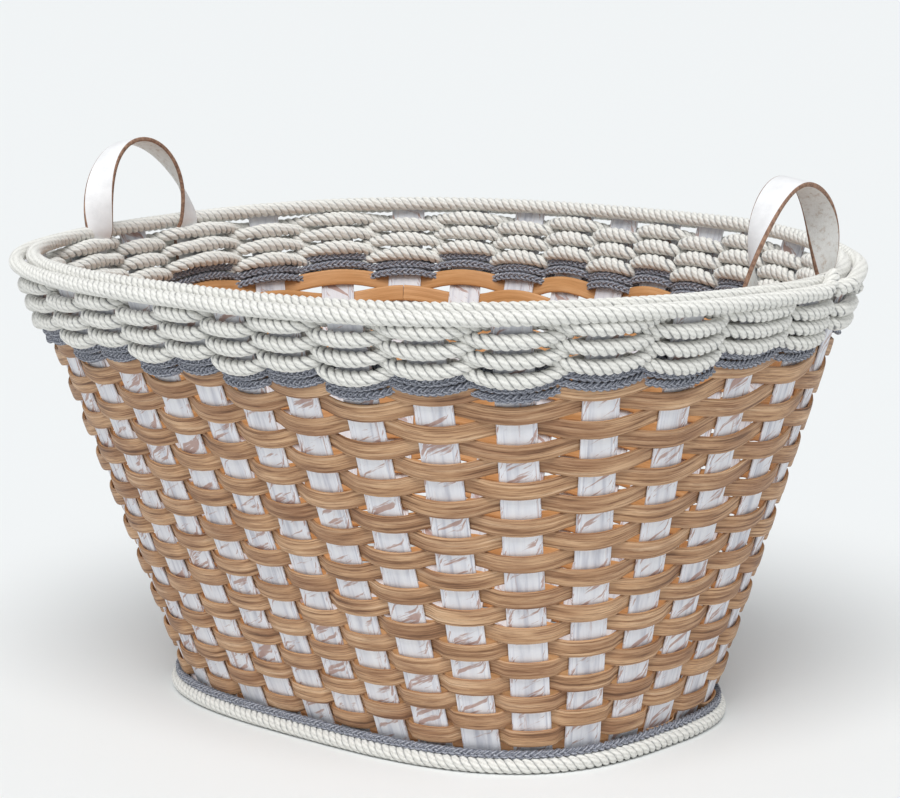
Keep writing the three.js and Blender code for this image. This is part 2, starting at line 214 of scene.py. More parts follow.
def weavePath(first, last, form, heightAt):
    # One weaver from the middle of pass first to the middle of pass last
    points, outwards, squeeze = [], [], []
    pressed, strapRoom = weave["edgeSqueeze"], form.get("strapRoom", 0)
    previous = None
    for number in range(first, last + 1):
        index = number % stakeCount
        sign = 1 if number % 2 == 0 else -1
        strapSide = footSides.get(index, 0) if strapRoom else 0
        low = min(strapSide - weave["strapReach"], -form["edge"])
        high = max(strapSide + weave["strapReach"], form["edge"])
        if number == first and first > 0:  # the very first reed shows its whole start
            low = weave["endGap"]
        if number == last:
            high = -weave["endGap"]
        offset = form["offset"] + (strapRoom if strapSide and sign < 0 else 0)
        swell = form.get("innerSwell", 0) if sign < 0 else 0
        spacing = spacingAt(index, heightAt(number))
        outward = stakeFrames[index]["outward"]
        run = []
        for side in np.linspace(low, high, form["flatSteps"]):
            share = min(1, abs(side) / form["edge"])
            out = sign * (offset + form["bow"] * (1 - share * share))
            height = heightAt(number + clamped(side / spacing, -0.5, 0.5))
            run.append((onStake(index, side, out, height), (pressed + swell) * share ** 3 - swell))
        if previous:
            a, b = previous[-1][0], run[0][0]
            aRun, bRun = unit(a - previous[-2][0]), unit(run[1][0] - b)
            for k in range(1, form["crossSteps"]):
                t = k / form["crossSteps"]
                points.append(hermite(a, aRun, b, bRun, t))
                outwards.append(unit(lastOutward * (1 - t) + outward * t))
                squeeze.append(pressed + (1 - pressed) * math.sin(math.pi * t))
        for point, amount in run:
            points.append(point)
            outwards.append(outward)
            squeeze.append(amount)
        previous, lastOutward = run, outward
    return {"points": np.array(points) * mm, "outward": np.array(outwards),
            "squeeze": np.array(squeeze)}


def smoothChain(points, closed, steps):
    # Catmull-Rom through the points
    p = np.array(points)
    count = len(p)
    out = []
    for i in range(count if closed else count - 1):
        if closed:
            a, b, c, d = p[i - 1], p[i], p[(i + 1) % count], p[(i + 2) % count]
        else:
            a, b, c, d = p[max(i - 1, 0)], p[i], p[i + 1], p[min(i + 2, count - 1)]
        for k in range(steps):
            t = k / steps
            out.append(0.5 * (2 * b + (c - a) * t + (2 * a - 5 * b + 4 * c - d) * t ** 2
                              + (3 * b - a - 3 * c + d) * t ** 3))
    if not closed:
        out.append(p[-1])
    return np.array(out)


def roundLength(points):
    return float(np.linalg.norm(np.diff(np.vstack([points, points[:1]]), axis=0), axis=1).sum())


def runAlong(points):
    return np.concatenate([[0], np.cumsum(np.linalg.norm(np.diff(points, axis=0), axis=1))])


def pathObject(name, chains):
    # A mesh of bare edges that carries what the node trees read along the path
    points, edges, values = [], [], {}
    for chain in chains:
        base, count = len(points), len(chain["points"])
        points.extend(chain["points"].tolist())
        edges.extend((base + k, base + k + 1) for k in range(count - 1))
        if chain.get("closed"):
            edges.append((base + count - 1, base))
        for key in ("outward", "squeeze", "thin", "tone"):
            if key in chain:
                shape = (count, 3) if key == "outward" else (count,)
                values.setdefault(key, []).append(np.broadcast_to(chain[key], shape))
    mesh = bpy.data.meshes.new(name)
    mesh.from_pydata(points, edges, [])
    for key, parts in values.items():
        joined = np.concatenate(parts).astype(np.float32)
        vector = joined.ndim == 2
        layer = mesh.attributes.new(key, "FLOAT_VECTOR" if vector else "FLOAT", "POINT")
        layer.data.foreach_set("vector" if vector else "value", joined.ravel())
    made = bpy.data.objects.new(name, mesh)
    scene.collection.objects.link(made)
    return made


# Node trees
def newTree(name, inputs):
    tree = bpy.data.node_groups.new(name, "GeometryNodeTree")
    tree.interface.new_socket("Geometry", in_out="INPUT", socket_type="NodeSocketGeometry")
    for label, kind in inputs:
        tree.interface.new_socket(label, in_out="INPUT", socket_type="NodeSocket" + kind)
    tree.interface.new_socket("Geometry", in_out="OUTPUT", socket_type="NodeSocketGeometry")
    return tree, tree.nodes.new("NodeGroupInput"), tree.nodes.new("NodeGroupOutput")


def plug(tree, socket, value):
    if isinstance(value, bpy.types.NodeSocket):
        tree.links.new(value, socket)
    else:
        socket.default_value = value


def addNode(tree, kind, values=None, **settings):
    made = tree.nodes.new(kind)
    for key, value in settings.items():
        setattr(made, key, value)
    for key, value in (values or {}).items():
        plug(tree, made.inputs[key], value)
    return made


def maths(tree, operation, a, b=0.0, c=0.0):
    return addNode(tree, "ShaderNodeMath", {0: a, 1: b, 2: c}, operation=operation).outputs[0]


def vectorMaths(tree, operation, values, result="Vector"):
    return addNode(tree, "ShaderNodeVectorMath", values, operation=operation).outputs[result]


def named(tree, name, kind="FLOAT"):
    values = {"Name": name}
    return addNode(tree, "GeometryNodeInputNamedAttribute", values, data_type=kind).outputs[0]


def stored(tree, geometry, name, value, kind="FLOAT"):
    made = addNode(tree, "GeometryNodeStoreNamedAttribute", data_type=kind, domain="POINT")
    for key, item in (("Geometry", geometry), ("Name", name), ("Value", value)):
        plug(tree, made.inputs[key], item)
    return made.outputs[0]


def measuredCurve(tree, curve):
    # Run is the length along the path, which the materials read
    length = addNode(tree, "GeometryNodeSplineParameter").outputs["Length"]
    return stored(tree, curve, "run", length)


def ringed(tree, profile):
    # The place round a section as a direction, which does not jump where the ring closes
    share = addNode(tree, "GeometryNodeSplineParameter").outputs["Factor"]
    angle = maths(tree, "MULTIPLY", share, 2 * math.pi)
    profile = stored(tree, profile, "ringX", maths(tree, "COSINE", angle))
    return stored(tree, profile, "ringY", maths(tree, "SINE", angle))


def finishTree(tree, groupIn, groupOut, mesh):
    smooth = addNode(tree, "GeometryNodeSetShadeSmooth", {"Geometry": mesh}).outputs[0]
    whole = addNode(tree, "GeometryNodeRealizeInstances", {"Geometry": smooth}).outputs[0]
    values = {"Geometry": whole, "Material": groupIn.outputs["Material"]}
    tree.links.new(addNode(tree, "GeometryNodeSetMaterial", values).outputs[0], groupOut.inputs[0])
    return tree


# What a fully squeezed strand gains or loses
strandGive = {"depth": 0.12, "height": -0.2, "radius": -0.1}


def strandTree(name, plaited):
    # Strands round a path: laid as a rope, or plaited as a flat braid
    inputs = [("Strands", "Int"), ("Strand Radius", "Float"), ("Half Width", "Float"),
              ("Half Depth", "Float"), ("Lay", "Float"), ("Step", "Float"), ("Sides", "Int"),
              ("Material", "Material")]
    tree, groupIn, groupOut = newTree(name, inputs)
    size = groupIn.outputs
    curve = addNode(tree, "GeometryNodeMeshToCurve", {0: size["Geometry"]}).outputs[0]
    values = {"Curve": curve, "Length": size["Step"]}
    even = addNode(tree, "GeometryNodeResampleCurve", values, mode="LENGTH").outputs[0]
    level = addNode(tree, "GeometryNodeSetCurveNormal", {"Curve": even}, mode="Z_UP").outputs[0]
    values = {"Geometry": measuredCurve(tree, level), "Amount": size["Strands"]}
    copies = addNode(tree, "GeometryNodeDuplicateElements", values, domain="SPLINE").outputs
    counted = stored(tree, copies[0], "strand", copies[1])

    # Where each strand lies round the path
    turns = maths(tree, "DIVIDE", named(tree, "run"), size["Lay"])
    phase = maths(tree, "DIVIDE", named(tree, "strand"), size["Strands"])
    angle = maths(tree, "MULTIPLY", maths(tree, "ADD", turns, phase), 2 * math.pi)
    squeeze = named(tree, "squeeze")
    give = {key: maths(tree, "MULTIPLY_ADD", squeeze, amount, 1.0)
            for key, amount in strandGive.items()}
    if plaited:
        swing = maths(tree, "SINE", maths(tree, "MULTIPLY", angle, 2.0))
    else:
        swing = maths(tree, "COSINE", angle)
    depth = maths(tree, "MULTIPLY", swing, size["Half Depth"])
    depth = maths(tree, "MULTIPLY", depth, give["depth"])
    height = maths(tree, "MULTIPLY", maths(tree, "SINE", angle), size["Half Width"])
    height = maths(tree, "MULTIPLY", height, give["height"])
    normal = addNode(tree, "GeometryNodeInputNormal").outputs[0]
    tangent = addNode(tree, "GeometryNodeInputTangent").outputs[0]
    upright = vectorMaths(tree, "CROSS_PRODUCT", {0: tangent, 1: normal})
    offset = vectorMaths(tree, "ADD", {
        0: vectorMaths(tree, "SCALE", {0: normal, "Scale": depth}),
        1: vectorMaths(tree, "SCALE", {0: upright, "Scale": height})})
    facing = normal if plaited else vectorMaths(tree, "NORMALIZE", {0: offset})
    values = {"Geometry": stored(tree, counted, "facing", facing, "FLOAT_VECTOR"), "Offset": offset}
    moved = addNode(tree, "GeometryNodeSetPosition", values).outputs[0]

    values = {"Resolution": size["Sides"], "Radius": size["Strand Radius"]}
    circle = addNode(tree, "GeometryNodeCurvePrimitiveCircle", values).outputs[0]
    values = {"Curve": moved, "Profile Curve": ringed(tree, circle), "Scale": give["radius"],
              "Fill Caps": True}
    mesh = addNode(tree, "GeometryNodeCurveToMesh", values).outputs[0]
    # Ridge is 1 where a strand faces out of the rope and falls in the grooves between strands
    # The yarn materials paint shade in those grooves from the ridge
    surface = addNode(tree, "GeometryNodeInputNormal").outputs[0]
    values = {0: surface, 1: named(tree, "facing", "FLOAT_VECTOR")}
    toward = vectorMaths(tree, "DOT_PRODUCT", values, "Value")
    mesh = stored(tree, mesh, "ridge", maths(tree, "ABSOLUTE", toward))
    return finishTree(tree, groupIn, groupOut, mesh)


def stripTree(name):
    # A flat strip along a path, its face turned to the path's own outward direction
    inputs = [("Width", "Float"), ("Thickness", "Float"), ("Corner Power", "Float"),
              ("Sides", "Int"), ("Material", "Material")]
    tree, groupIn, groupOut = newTree(name, inputs)
    size = groupIn.outputs
    curve = addNode(tree, "GeometryNodeMeshToCurve", {0: size["Geometry"]}).outputs[0]
    values = {"Curve": measuredCurve(tree, curve),
              "Normal": named(tree, "outward", "FLOAT_VECTOR")}
    turned = addNode(tree, "GeometryNodeSetCurveNormal", values, mode="FREE").outputs[0]
    values = {"Resolution": size["Sides"], "Radius": 1.0}
    circle = addNode(tree, "GeometryNodeCurvePrimitiveCircle", values).outputs[0]
    place = addNode(tree, "GeometryNodeInputPosition").outputs[0]
    split = addNode(tree, "ShaderNodeSeparateXYZ", {0: place}).outputs
    squared = []
    for axis, extent in ((0, size["Thickness"]), (1, size["Width"])):
        reach = maths(tree, "POWER", maths(tree, "ABSOLUTE", split[axis]), size["Corner Power"])
        signed = maths(tree, "MULTIPLY", reach, maths(tree, "SIGN", split[axis]))
        squared.append(maths(tree, "MULTIPLY", signed, maths(tree, "MULTIPLY", extent, 0.5)))
    corner = addNode(tree, "ShaderNodeCombineXYZ", {0: squared[0], 1: squared[1]}).outputs[0]
    values = {"Geometry": ringed(tree, circle), "Position": corner}
    profile = addNode(tree, "GeometryNodeSetPosition", values).outputs[0]
    values = {"Curve": turned, "Profile Curve": profile, "Scale": named(tree, "thin"),
              "Fill Caps": True}
    mesh = addNode(tree, "GeometryNodeCurveToMesh", values).outputs[0]
    return finishTree(tree, groupIn, groupOut, mesh)


laidRope = strandTree("laidRope", False)
plaitedCord = strandTree("plaitedCord", True)
flatStrip = stripTree("flatStrip")


def realized(name, path, tree, values):
    modifier = path.modifiers.new(tree.name, "NODES")
    modifier.node_group = tree
    for item in tree.interface.items_tree:
        if item.in_out == "INPUT" and item.name in values:
            modifier[item.identifier] = values[item.name]
    graph = bpy.context.evaluated_depsgraph_get()
    mesh = bpy.data.meshes.new_from_object(path.evaluated_get(graph), depsgraph=graph,
                                           preserve_all_data_layers=True)
    mesh.name = name
    made = bpy.data.objects.new(name, mesh)
    scene.collection.objects.link(made)
    bpy.data.objects.remove(path)
    return made


def settle(piece, node):
    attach(piece, "basket")
    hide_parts(node)


# Materials
def linear(red, green, blue):
    shares = [c / 255 for c in (red, green, blue)]
    return tuple(c / 12.92 if c < 0.0405 else ((c + 0.055) / 1.055) ** 2.4 for c in shares) + (1.0,)


black, white = linear(0, 0, 0), linear(255, 255, 255)


def newMaterial(name, roughness):
    made = bpy.data.materials.new(name)
    made.use_nodes = True
    tree = made.node_tree
    shader = tree.nodes["Principled BSDF"]
    shader.inputs["Roughness"].default_value = roughness
    return made, tree, shader


def attribute(tree, name):
    return addNode(tree, "ShaderNodeAttribute", attribute_name=name).outputs["Fac"]


def objectPlace(tree):
    return addNode(tree, "ShaderNodeTexCoord").outputs["Object"]


def mapped(tree, vector, **values):
    return addNode(tree, "ShaderNodeMapping", {"Vector": vector, **values}).outputs[0]


def ramp(tree, factor, stops):
    made = addNode(tree, "ShaderNodeValToRGB", {0: factor})
    elements = made.color_ramp.elements
    while len(elements) < len(stops):
        elements.new(0.5)
    for element, (place, colour) in zip(elements, stops):
        element.position = place
        element.color = colour
    return made.outputs[0]


def noise(tree, vector, scale, detail=3.0, roughness=0.55):
    values = {"Vector": vector, "Scale": scale, "Detail": detail, "Roughness": roughness}
    return addNode(tree, "ShaderNodeTexNoise", values).outputs["Fac"]


def mixed(tree, factor, a, b, blend="MIX"):
    values = {0: factor, 6: a, 7: b}  # by number, because a Mix node has several sockets A and B
    return addNode(tree, "ShaderNodeMix", values, data_type="RGBA", blend_type=blend).outputs[2]


def coloured(tree, shader, colour):
    tree.links.new(colour, shader.inputs["Base Color"])


def bumped(tree, shader, height, strength, distance=0.5):
    # The distance is in millimetres
    values = {"Height": height, "Strength": strength, "Distance": distance * mm}
    tree.links.new(addNode(tree, "ShaderNodeBump", values).outputs[0], shader.inputs["Normal"])


# Grain on a strip: each strip starts somewhere else in the noise, and its two faces differ
stripGrain = {"toneJump": 37.0, "faceJump": 0.8}


def stripPlace(tree, alongScale, acrossScale):
    along = maths(tree, "MULTIPLY", attribute(tree, "run"), alongScale)
    across = maths(tree, "MULTIPLY", attribute(tree, "ringY"), acrossScale)
    face = maths(tree, "MULTIPLY", attribute(tree, "ringX"), stripGrain["faceJump"])
    start = maths(tree, "MULTIPLY_ADD", attribute(tree, "tone"), stripGrain["toneJump"], face)
    return addNode(tree, "ShaderNodeCombineXYZ", {0: along, 1: across, 2: start}).outputs[0]


# In the finishes a place is (along, across) and a noise is (scale, detail, roughness)
reedFinish = {
    "roughness": 0.58, "bump": 0.2, "bumpNoise": (2.2, 4.0),
    "streakPlace": (9.0, 2.3), "streakNoise": (1.5, 5.0, 0.6),
    "streaks": [(0.32, linear(122, 86, 58)), (0.45, linear(188, 148, 112)),
                (0.58, linear(216, 180, 145)), (0.76, linear(238, 212, 183))],
    "patchPlace": (16.0, 0.5), "patchNoise": (1.0, 2.0), "patchShare": 0.75,
    "patches": [(0.32, linear(186, 160, 138)), (0.62, linear(255, 250, 240))],
    "porePlace": (34.0, 9.0), "poreNoise": (1.6, 4.0, 0.7), "poreShare": 0.7,
    "pores": [(0.36, linear(146, 114, 88)), (0.52, white)],
    # painted warm light on the face towards the inside of the basket
    "inside": [(0.35, black), (0.65, white)], "insideShare": 0.6,
    "insideLightColour": linear(218, 156, 92),
}


def makeReedMaterial():
    finish = reedFinish
    made, tree, shader = newMaterial("stainedReed", finish["roughness"])
    grain = stripPlace(tree, *finish["streakPlace"])
    colour = ramp(tree, noise(tree, grain, *finish["streakNoise"]), finish["streaks"])
    for kind, stops in (("patch", "patches"), ("pore", "pores")):
        place = stripPlace(tree, *finish[kind + "Place"])
        layer = ramp(tree, noise(tree, place, *finish[kind + "Noise"]), finish[stops])
        colour = mixed(tree, finish[kind + "Share"], colour, layer, "MULTIPLY")
    # Painted warm light: the face towards the inside of the basket is warmer
    inward = maths(tree, "MULTIPLY_ADD", attribute(tree, "ringX"), -0.5, 0.5)
    insideLight = maths(tree, "MULTIPLY", ramp(tree, inward, finish["inside"]), finish["insideShare"])
    coloured(tree, shader, mixed(tree, insideLight, colour, finish["insideLightColour"]))
    bumped(tree, shader, noise(tree, grain, *finish["bumpNoise"]), finish["bump"])
    return made


stakeFinish = {
    "roughness": 0.75, "bump": 0.25, "bumpNoise": (3.0, 4.0),
    "grainPlace": (8.0, 2.4), "washNoise": (2.4, 5.0),
    "wash": [(0.3, linear(192, 194, 205)), (0.48, linear(231, 232, 238)),
             (0.75, linear(246, 247, 250))],
    "wornNoise": (1.7, 6.0, 0.7), "worn": [(0.60, black), (0.70, white)],
    "scratchPlace": (130.0, 2.2), "scratchTurn": 0.75, "scratchStretch": (1.0, 0.16, 1.0),
    "scratchNoise": (1.6, 4.0, 0.65), "scratches": [(0.555, black), (0.61, white)],
    "bareShare": 0.72, "bareColour": linear(170, 120, 96),
}


def makeStakeMaterial():
    finish = stakeFinish
    made, tree, shader = newMaterial("whitewashedWood", finish["roughness"])
    grain = stripPlace(tree, *finish["grainPlace"])
    wash = ramp(tree, noise(tree, grain, *finish["washNoise"]), finish["wash"])
    worn = ramp(tree, noise(tree, grain, *finish["wornNoise"]), finish["worn"])
    slant = mapped(tree, stripPlace(tree, *finish["scratchPlace"]),
                   Rotation=(0, 0, finish["scratchTurn"]))
    stretched = mapped(tree, slant, Scale=finish["scratchStretch"])
    scratched = ramp(tree, noise(tree, stretched, *finish["scratchNoise"]), finish["scratches"])
    bare = maths(tree, "MULTIPLY", maths(tree, "MAXIMUM", worn, scratched), finish["bareShare"])
    coloured(tree, shader, mixed(tree, bare, wash, finish["bareColour"]))
    bumped(tree, shader, noise(tree, grain, *finish["bumpNoise"]), finish["bump"])
    return made


# Twisted yarns show as fine lines that wind round each strand; the pitch is in millimetres
yarnFinish = {
    "roughness": 0.95, "sheen": 0.25, "bump": 0.5, "bumpFluff": 0.6, "bumpLines": 0.5,
    "fluffNoise": (900.0, 3.0, 0.7), "fluffShare": 0.75, "lineShare": 0.25,
    "creaseNoise": (320.0, 2.0), "creaseRough": 0.5,
    # Painted shade in the grooves between strands, darkest where the ridge is low
    "creaseShade": [(0.5, linear(150, 152, 158)), (0.95, white)],
    "cottonRope": {"yarns": 5.0, "pitch": 7.0, "colours": [
        (0.25, linear(206, 205, 199)), (0.5, linear(233, 232, 226)), (0.8, linear(247, 246, 241))]},
    "greyCord": {"yarns": 4.0, "pitch": 4.0, "colours": [
        (0.25, linear(66, 69, 80)), (0.5, linear(138, 141, 153)), (0.8, linear(214, 217, 224))]},
}


def makeYarnMaterial(name):
    finish, kind = yarnFinish, yarnFinish[name]
    made, tree, shader = newMaterial(name, finish["roughness"])
    shader.inputs["Sheen Weight"].default_value = finish["sheen"]
    place = objectPlace(tree)
    around = maths(tree, "ARCTAN2", attribute(tree, "ringY"), attribute(tree, "ringX"))
    along = maths(tree, "MULTIPLY", attribute(tree, "run"), 2 * math.pi / (kind["pitch"] * mm))
    winding = maths(tree, "MULTIPLY_ADD", around, kind["yarns"], along)
    lines = maths(tree, "MULTIPLY_ADD", maths(tree, "SINE", winding), 0.5, 0.5)
    fluff = noise(tree, place, *finish["fluffNoise"])

    def fluffAndLines(fluffShare, lineShare):
        fine = maths(tree, "MULTIPLY", lines, lineShare)
        return maths(tree, "MULTIPLY_ADD", fluff, fluffShare, fine)

    # Partly painted shade: the low side of the lines darkens the grooves between yarns; the fluff
    # noise is the yarn's own mottle
    shade = fluffAndLines(finish["fluffShare"], finish["lineShare"])
    colour = ramp(tree, shade, kind["colours"])
    # Painted shade: the grooves between strands are darkened from the ridge attribute, roughened by
    # noise
    rough = noise(tree, place, *finish["creaseNoise"])
    depth = maths(tree, "MULTIPLY_ADD", rough, finish["creaseRough"], attribute(tree, "ridge"))
    creaseShade = ramp(tree, depth, finish["creaseShade"])
    coloured(tree, shader, mixed(tree, 1.0, colour, creaseShade, "MULTIPLY"))
    bumped(tree, shader, fluffAndLines(finish["bumpFluff"], finish["bumpLines"]), finish["bump"])
    return made


boardFinish = {
    "roughness": 0.6, "bump": 0.2, "stretch": (3.0, 60.0, 60.0), "grainNoise": (1.2, 6.0, 0.62),
    "colours": [(0.3, linear(146, 102, 62)), (0.5, linear(186, 140, 92)),
                (0.72, linear(208, 168, 120))],
}


def makeBoardMaterial():
    finish = boardFinish
    made, tree, shader = newMaterial("sandedBoard", finish["roughness"])
    place = mapped(tree, objectPlace(tree), Scale=finish["stretch"])
    grain = noise(tree, place, *finish["grainNoise"])
    coloured(tree, shader, ramp(tree, grain, finish["colours"]))
    bumped(tree, shader, grain, finish["bump"])
    return made


leatherFinish = {
    "pebbleScale": 1100.0, "pebbleShare": 0.6, "poreNoise": (700.0, 3.0), "bumpDistance": 0.4,
    "whiteCoat": {"roughness": 0.5, "bump": 0.25, "cloudNoise": (60.0, 6.0, 0.7), "colours": [
        (0.3, linear(232, 232, 233)), (0.6, linear(245, 245, 246))]},
    "fleshSide": {"roughness": 0.95, "bump": 0.5, "cloudNoise": (260.0, 6.0, 0.7), "colours": [
        (0.33, linear(198, 186, 175)), (0.46, linear(222, 220, 216)),
        (0.7, linear(232, 231, 228))]},
    "rawEdge": {"roughness": 0.95, "bump": 0.8, "cloudNoise": (400.0, 6.0, 0.7), "colours": [
        (0.35, linear(112, 84, 70)), (0.6, linear(166, 132, 110))]},
}


def makeLeather(name):
    finish, side = leatherFinish, leatherFinish[name]
    made, tree, shader = newMaterial(name, side["roughness"])
    place = objectPlace(tree)
    coloured(tree, shader, ramp(tree, noise(tree, place, *side["cloudNoise"]), side["colours"]))
    values = {"Vector": place, "Scale": finish["pebbleScale"]}
    pebble = addNode(tree, "ShaderNodeTexVoronoi", values).outputs["Distance"]
    pores = noise(tree, place, *finish["poreNoise"])
    height = maths(tree, "MULTIPLY_ADD", pebble, finish["pebbleShare"], pores)
    bumped(tree, shader, height, side["bump"], finish["bumpDistance"])
    return made


stainedReed = makeReedMaterial()
whitewashedWood = makeStakeMaterial()
cottonRope = makeYarnMaterial("cottonRope")
greyCord = makeYarnMaterial("greyCord")
sandedBoard = makeBoardMaterial()
strapSides = [makeLeather(name) for name in ("whiteCoat", "fleshSide", "rawEdge")]
print("stage: materials made")


# Base board keeps its solid
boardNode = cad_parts["base_board"]
boardNode.data.materials.clear()
boardNode.data.materials.append(sandedBoard)

# Stakes stand in the board's slot and bend up round its edge
stakeForm = {"width": 25.0, "thickness": 2.0, "power": 0.34, "sides": 28, "bendRadius": 3.0,
             "bendSteps": 4, "slotReach": 16.5, "slotHeight": 6.0, "lengthSteps": 14}


def stripPiece(name, chain, form, material, node):
    piece = realized(name, pathObject(name + "Path", [chain]), flatStrip, {
        "Width": form["width"] * mm, "Thickness": form["thickness"] * mm,
        "Corner Power": form["power"], "Sides": form["sides"], "Material": material})
    settle(piece, node)


def stakePath(index):
    stake = stakeFrames[index]
    radius, down = stakeForm["bendRadius"], np.array([0, 0, -1.0])
    inward = -unit(stake["outward"] * np.array([1, 1, 0]))
    bend = onStake(index, 0, 0, stakeForm["slotHeight"])
    a, b = bend + inward * radius, bend + stake["along"] * radius
    points = [bend + inward * stakeForm["slotReach"], a]
    normals = [down] * 2
    for k in range(1, stakeForm["bendSteps"] + 1):
        t = k / stakeForm["bendSteps"]
        points.append((1 - t) ** 2 * a + 2 * t * (1 - t) * bend + t * t * b)
        normals.append(unit(down * (1 - t) + stake["outward"] * t))
    bottom, top = stakeForm["slotHeight"] + radius, rows["stakeTop"] - rimDip(index)
    for height in np.linspace(bottom, top, stakeForm["lengthSteps"])[1:]:
        points.append(onStake(index, 0, 0, height))
        normals.append(stake["outward"])
    return {"points": np.array(points) * mm, "outward": np.array(normals), "thin": 1.0,
            "tone": index / stakeCount}


for index in range(stakeCount):
    label = "%02d" % (index + 1)
    stripPiece("stakeStrip" + label, stakePath(index), stakeForm, whitewashedWood,
               "stake_" + label)
print("stage: stakes made")


def insidePass(number):
    return 2 * math.floor(number / 2) + 1  # the odd pass at or beside this number


# Reed: one spiral in several lengths, joined behind stakes
reedEnds = [insidePass(rows["reedPasses"] * k / rows["reedLengths"])
            for k in range(1, rows["reedLengths"])]
reedEnds = [0] + reedEnds + [insidePass(rows["reedPasses"] - 2)]
for number, (first, last) in enumerate(zip(reedEnds, reedEnds[1:])):
    chain = weavePath(first, last, reed, reedHeight)
    chain["thin"] = 1.0
    if number == 0:  # the first length starts narrow
        passes = np.linspace(0, last - first, len(chain["points"]))
        share = (passes / reed["taperPasses"]).clip(0, 1)
        chain["thin"] = reed["startWidth"] / reed["width"] * (1 - share) + share
    chain["tone"] = (number * reed["toneStep"]) % 1
    label = "%02d" % (number + 1)
    stripPiece("reedWeaver" + label, chain, reed, stainedReed, "reed_" + label)
print("stage: reed woven")


def cordPiece(name, chains, form, lay, node):
    piece = realized(name, pathObject(name + "Path", chains), plaitedCord, {
        "Strands": form["strands"], "Strand Radius": form["strandRadius"] * mm,
        "Half Width": form["halfWidth"] * mm, "Half Depth": form["halfDepth"] * mm, "Lay": lay,
        "Step": form["step"] * mm, "Sides": form["sides"], "Material": greyCord})
    settle(piece, node)


def ropePiece(name, chain, lay, node, swell=1.0):
    piece = realized(name, pathObject(name + "Path", [chain]), laidRope, {
        "Strands": rope["strands"], "Strand Radius": rope["strandRadius"] * swell * mm,
        "Half Width": rope["orbit"] * swell * mm, "Half Depth": rope["orbit"] * mm, "Lay": lay,
        "Step": rope["step"] * mm, "Sides": rope["sides"], "Material": cottonRope})
    settle(piece, node)


# Grey rows: two plaited cords worked as one bundle
cordEnds = (insidePass(cordFirst), insidePass(ropeFirst - 2))
cordChains = []
for shift in (-cord["cordApart"] / 2, cord["cordApart"] / 2):
    cordChains.append(weavePath(*cordEnds, cord, lambda turn: cordHeight(turn) + shift))
cordPiece("greyCordRows", cordChains, cord, cord["lay"] * mm, "grey_cord_rows")

# Rope rows in two lengths
openLay = rope["lay"] * mm
ropeEnds = [insidePass(ropeFirst), insidePass(ropeFirst + rows["ropePasses"] / 2),
            insidePass(ropeFirst + rows["ropePasses"] - 2)]
lower, upper = (weavePath(a, b, rope, ropeHeight) for a, b in zip(ropeEnds, ropeEnds[1:]))
ropePiece("ropeRowsLower", lower, openLay, "rope_rows_lower", rope["rowSwell"])
ropePiece("ropeRowsUpper", upper, openLay, "rope_rows_upper", rope["rowSwell"])

# Rim ropes on both sides of the stake tops. The outer one starts tucked in beside the stake before
# its first and ends in a curl beside its last; both are given as side, out and lift.
rim = {"outerStart": 3, "outerEnd": 34, "clear": 0.4, "steps": 8,
       "tuck": ((-32.0, -7.0, -5.0), (-22.0, -2.5, -2.0), (-8.0, 0.4, 0.0)),
       "curl": ((9.0, -0.5, 0.6), (15.0, -2.5, 3.0), (20.0, -6.0, 7.0))}


def outerRimPoint(index, side, out, lift):
    return onStake(index, side, rope["offset"] + out, rows["outerRim"] - rimDip(index) + lift)


def innerRimLevel(index):
    return rows["innerRim"] - rimDip(index)


def roundWall(out, heightAt):
    points = [onStake(i, 0, out, heightAt(i)) for i in range(stakeCount)]
    return {"points": smoothChain(points, True, rim["steps"]) * mm, "closed": True, "squeeze": 0.0}


def roundLay(chain, lay):
    length = roundLength(chain["points"])
    return length / round(length / (lay * mm))  # a closed round holds whole turns


outer = [outerRimPoint(rim["outerStart"] - 1, *place) for place in rim["tuck"]]
for index in range(rim["outerStart"], rim["outerEnd"] + 1):
    outer.append(outerRimPoint(index, 0, rim["clear"], 0))
outer += [outerRimPoint(rim["outerEnd"], *place) for place in rim["curl"]]
outerChain = {"points": smoothChain(outer, False, rim["steps"]) * mm, "squeeze": 0.0}
ropePiece("rimRopeOuter", outerChain, openLay, "rim_rope_outer")
innerChain = roundWall(-rope["offset"], innerRimLevel)
ropePiece("rimRopeInner", innerChain, roundLay(innerChain, rope["lay"]), "rim_rope_inner")

# Base rope on the floor, and the plait in the corner above it
base = {"out": 8.8, "radius": 5.35}
braid = {"strands": 3, "strandRadius": 1.35, "halfWidth": 1.7, "halfDepth": 1.1, "lay": 15.0,
         "step": 1.4, "sides": 6, "out": 6.3, "rise": 7.0}


def floorLevel(index):
    return base["radius"] - base["out"] * stakeFrames[index]["outward"][2]


def braidLevel(index):
    return floorLevel(index) + braid["rise"] * stakeFrames[index]["along"][2]


floorChain = roundWall(base["out"], floorLevel)
ropePiece("baseRope", floorChain, roundLay(floorChain, rope["lay"]), "base_rope")
braidChain = roundWall(braid["out"], braidLevel)
cordPiece("baseBraid", [braidChain], braid, roundLay(braidChain, braid["lay"]), "base_braid")
print("stage: ropes and cords laid")

# Handles: one strap each, flat at the feet and turned a quarter in each leg
strap = {
    "width": 21.0, "thickness": 3.0, "edgeRadius": 0.9, "tailTop": 279.0, "inside": 2.8,
    "atRim": 12.4, "bend": math.pi / 3, "ropeRadius": 4.5, "gap": 0.3, "loopSteps": 40,
    "step": 1.5, "soft": 5.0, "twistFrom": -20.0, "twistOver": 87.0, "wallTurn": 24.0,
    "blendBelow": 10.0, "blendAbove": 16.0,
}
coat, flesh, edge = range(len(strapSides))


